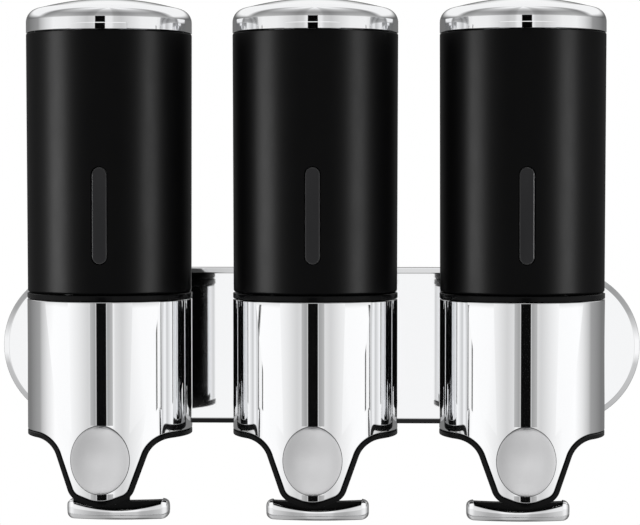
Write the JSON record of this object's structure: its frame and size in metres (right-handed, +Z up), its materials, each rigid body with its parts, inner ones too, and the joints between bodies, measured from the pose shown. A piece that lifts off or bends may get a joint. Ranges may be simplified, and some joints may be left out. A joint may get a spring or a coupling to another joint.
{
  "type": "wall mounted soap dispenser",
  "caption": "Wall mounted liquid soap dispenser: black lidded tanks on chrome squeeze-pump housings with pull bars, side by side on a rounded chrome wall plate.",
  "frame": {"origin": "middle of the wall plate's back face, where it meets the wall", "axes": "+Y into the wall, +Z up, +X to the user's right, the user stands at -Y"},
  "size_m": [0.2654, 0.0999, 0.2066],
  "materials": {
    "chrome": "polished chrome plating on moulded plastic",
    "satin_black": "satin black plastic",
    "black_moulding": "semi-gloss black moulding",
    "satin_silver": "satin plated thumb pad",
    "smoked_window": "smoked level window",
    "black_rubber": "moulded rubber",
    "white_acetal": "natural acetal",
    "steel": "stainless steel"
  },
  "bodies": {
    "wall_plate": {"wall_bracket": "black_moulding", "plate_cover": "chrome", "wall_screw_1": "steel", "wall_screw_2": "steel", "wall_screw_3": "steel", "wall_screw_4": "steel"},
    "left_dispenser": {"left_tank": "satin_black", "left_window": "smoked_window", "left_collar_ring": "black_moulding", "left_lower_housing": "black_moulding", "left_front_shield": "chrome", "left_thumb_pad": "satin_silver", "left_pump_base": "black_moulding", "left_pump_barrel": "white_acetal", "left_inlet_ball": "steel", "left_lever_pin": "steel", "left_return_spring": "steel"},
    "left_cap": {"left_cap": "chrome", "left_cap_seal": "black_rubber"},
    "left_lever": {"left_lever_arm": "black_moulding", "left_pull_bar": "chrome"},
    "left_plunger": {"left_plunger": "white_acetal", "left_spout": "black_rubber"},
    "middle_dispenser": {"middle_tank": "satin_black", "middle_window": "smoked_window", "middle_collar_ring": "black_moulding", "middle_lower_housing": "black_moulding", "middle_front_shield": "chrome", "middle_thumb_pad": "satin_silver", "middle_pump_base": "black_moulding", "middle_pump_barrel": "white_acetal", "middle_inlet_ball": "steel", "middle_lever_pin": "steel", "middle_return_spring": "steel"},
    "middle_cap": {"middle_cap": "chrome", "middle_cap_seal": "black_rubber"},
    "middle_lever": {"middle_lever_arm": "black_moulding", "middle_pull_bar": "chrome"},
    "middle_plunger": {"middle_plunger": "white_acetal", "middle_spout": "black_rubber"},
    "right_dispenser": {"right_tank": "satin_black", "right_window": "smoked_window", "right_collar_ring": "black_moulding", "right_lower_housing": "black_moulding", "right_front_shield": "chrome", "right_thumb_pad": "satin_silver", "right_pump_base": "black_moulding", "right_pump_barrel": "white_acetal", "right_inlet_ball": "steel", "right_lever_pin": "steel", "right_return_spring": "steel"},
    "right_cap": {"right_cap": "chrome", "right_cap_seal": "black_rubber"},
    "right_lever": {"right_lever_arm": "black_moulding", "right_pull_bar": "chrome"},
    "right_plunger": {"right_plunger": "white_acetal", "right_spout": "black_rubber"}
  },
  "joints": [
    {"name": "left_lift_off", "type": "slide", "parent": "wall_plate", "child": "left_dispenser", "axis": [0, 0, 1], "range_m": [0, 0.05]},
    {"name": "left_cap_lift", "type": "slide", "parent": "left_dispenser", "child": "left_cap", "axis": [0, 0, 1], "range_m": [0, 0.06]},
    {"name": "left_lever_pull", "type": "hinge", "parent": "left_dispenser", "child": "left_lever", "pos_m": [-0.0805, -0.044, -0.0258], "axis": [-1, 0, 0], "range_deg": [0, 15], "stiffness_Nm_per_rad": 0.4, "springref_deg": -20.05},
    {"name": "left_plunger_rise", "type": "slide", "parent": "left_dispenser", "child": "left_plunger", "axis": [0, 0, 1], "range_m": [0, 0.0058], "deforming": ["left_return_spring"]},
    {"name": "middle_lift_off", "type": "slide", "parent": "wall_plate", "child": "middle_dispenser", "axis": [0, 0, 1], "range_m": [0, 0.05]},
    {"name": "middle_cap_lift", "type": "slide", "parent": "middle_dispenser", "child": "middle_cap", "axis": [0, 0, 1], "range_m": [0, 0.06]},
    {"name": "middle_lever_pull", "type": "hinge", "parent": "middle_dispenser", "child": "middle_lever", "pos_m": [0, -0.044, -0.0258], "axis": [-1, 0, 0], "range_deg": [0, 15], "stiffness_Nm_per_rad": 0.4, "springref_deg": -20.05},
    {"name": "middle_plunger_rise", "type": "slide", "parent": "middle_dispenser", "child": "middle_plunger", "axis": [0, 0, 1], "range_m": [0, 0.0058], "deforming": ["middle_return_spring"]},
    {"name": "right_lift_off", "type": "slide", "parent": "wall_plate", "child": "right_dispenser", "axis": [0, 0, 1], "range_m": [0, 0.05]},
    {"name": "right_cap_lift", "type": "slide", "parent": "right_dispenser", "child": "right_cap", "axis": [0, 0, 1], "range_m": [0, 0.06]},
    {"name": "right_lever_pull", "type": "hinge", "parent": "right_dispenser", "child": "right_lever", "pos_m": [0.0805, -0.044, -0.0258], "axis": [-1, 0, 0], "range_deg": [0, 15], "stiffness_Nm_per_rad": 0.4, "springref_deg": -20.05},
    {"name": "right_plunger_rise", "type": "slide", "parent": "right_dispenser", "child": "right_plunger", "axis": [0, 0, 1], "range_m": [0, 0.0058], "deforming": ["right_return_spring"]}
  ],
  "couplings": [
    {"joint": "left_plunger_rise", "follows": "left_lever_pull", "m_per_rad": 0.02175},
    {"joint": "middle_plunger_rise", "follows": "middle_lever_pull", "m_per_rad": 0.02175},
    {"joint": "right_plunger_rise", "follows": "right_lever_pull", "m_per_rad": 0.02175}
  ]
}
